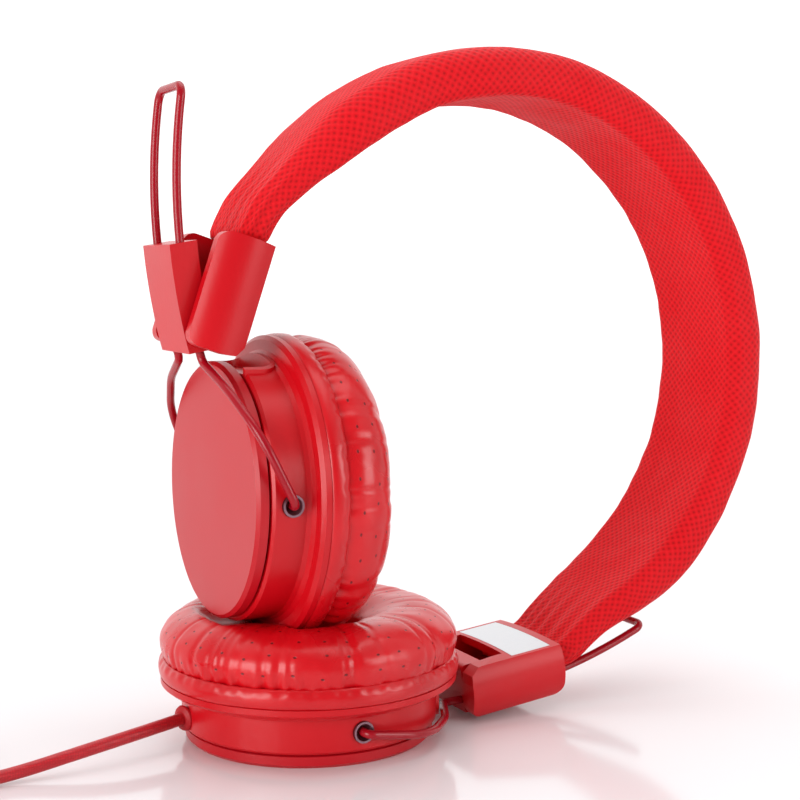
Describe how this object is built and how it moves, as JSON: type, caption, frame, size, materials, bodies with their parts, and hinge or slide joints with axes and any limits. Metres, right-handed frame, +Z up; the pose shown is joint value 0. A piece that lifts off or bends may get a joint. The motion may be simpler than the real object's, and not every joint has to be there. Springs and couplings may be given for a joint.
{
  "type": "over ear headphones",
  "caption": "Folding headphones with a padded fabric headband, wire yokes in sliding blocks, round cushioned ear cups and a thin cable to a stereo plug.",
  "frame": {"origin": "centre of the left ear cup's flat outer disc, on the surface it stands on", "axes": "+Z up from that disc; +X from the left cup along its arm, in the plane the headband bends in; +Y across the headband's width"},
  "size_m": [0.265, 0.0974, 0.1666],
  "materials": {
    "red_plastic": "moulded, satin gloss",
    "red_satin_plastic": "soft-touch matt",
    "red_leatherette": "perforated leatherette",
    "red_fabric": "fine knit",
    "red_painted_wire": "gloss enamel",
    "red_cord": "braided textile",
    "red_rubber": "moulded",
    "foam": "open-cell foam",
    "black_plastic": "moulded",
    "black_felt": "thin felt",
    "film": "thin polyester film",
    "board": "coated board",
    "steel": "plain",
    "grey_metal": "dark nickel",
    "brushed_plate": "satin silver",
    "copper_wire": "enamelled wire",
    "gold_plated": "plated"
  },
  "bodies": {
    "headband": {"headband_sleeve": "red_fabric", "headband_foam": "foam", "headband_spring": "steel", "headband_link_wire": "red_cord", "left_end_housing": "red_plastic", "left_housing_plate": "brushed_plate", "left_hinge_pin": "steel", "left_band_screws": "steel", "right_end_housing": "red_plastic", "right_housing_plate": "brushed_plate", "right_hinge_pin": "steel", "right_band_screws": "steel"},
    "left_block": {"left_block_outer": "red_plastic", "left_block_inner": "red_plastic", "left_friction_spring": "steel", "left_block_screws": "steel"},
    "left_yoke": {"left_wire_yoke": "red_painted_wire"},
    "left_cup": {"left_cup_cover": "red_satin_plastic", "left_cup_shell": "red_plastic", "left_baffle": "black_plastic", "left_driver_frame": "black_plastic", "left_driver_magnet": "steel", "left_voice_coil": "copper_wire", "left_diaphragm": "film", "left_driver_grille": "steel", "left_dust_felt": "black_felt", "left_ear_cushion": "red_leatherette", "left_cushion_skirt": "red_leatherette", "left_baffle_screws": "steel", "left_yoke_eyelets": "grey_metal", "left_terminal_board": "board", "cord": "red_cord", "cord_coil": "red_cord", "cord_tail": "red_cord", "plug_grip": "red_plastic", "plug_pin": "gold_plated", "cord_grommet": "red_rubber"},
    "right_block": {"right_block_outer": "red_plastic", "right_block_inner": "red_plastic", "right_friction_spring": "steel", "right_block_screws": "steel"},
    "right_yoke": {"right_wire_yoke": "red_painted_wire"},
    "right_cup": {"right_cup_cover": "red_satin_plastic", "right_cup_shell": "red_plastic", "right_baffle": "black_plastic", "right_driver_frame": "black_plastic", "right_driver_magnet": "steel", "right_voice_coil": "copper_wire", "right_diaphragm": "film", "right_driver_grille": "steel", "right_dust_felt": "black_felt", "right_ear_cushion": "red_leatherette", "right_cushion_skirt": "red_leatherette", "right_baffle_screws": "steel", "right_yoke_eyelets": "grey_metal", "right_terminal_board": "board"}
  },
  "joints": [
    {"name": "left_fold", "type": "hinge", "parent": "headband", "child": "left_block", "pos_m": [0.0409, 0, 0.00801], "axis": [0, 1, 0], "range_deg": [0, 2.5], "deforming": ["left_ear_cushion", "right_ear_cushion"]},
    {"name": "left_slide", "type": "hinge", "parent": "left_block", "child": "left_yoke", "pos_m": [0.03254, 0, 0.15238], "axis": [0, 1, 0], "range_deg": [0, 8], "deforming": ["left_ear_cushion", "right_ear_cushion"]},
    {"name": "left_swivel", "type": "hinge", "parent": "left_yoke", "child": "left_cup", "pos_m": [0, 0, 0.008], "axis": [0, 1, 0], "range_deg": [-8, 3], "deforming": ["left_ear_cushion", "right_ear_cushion"]},
    {"name": "right_fold", "type": "hinge", "parent": "headband", "child": "right_block", "pos_m": [-0.02763, 0, 0.09818], "axis": [0, -1, 0], "range_deg": [-16, 48], "deforming": ["left_ear_cushion", "right_ear_cushion"]},
    {"name": "right_slide", "type": "hinge", "parent": "right_block", "child": "right_yoke", "pos_m": [0.11287, 0, 0.13238], "axis": [0, -1, 0], "range_deg": [0, 1.2], "deforming": ["left_ear_cushion", "right_ear_cushion"]},
    {"name": "right_swivel", "type": "hinge", "parent": "right_yoke", "child": "right_cup", "pos_m": [-0.01696, 0, 0.06132], "axis": [0, 1, 0], "range_deg": [-13, 12], "deforming": ["left_ear_cushion", "right_ear_cushion"]}
  ]
}
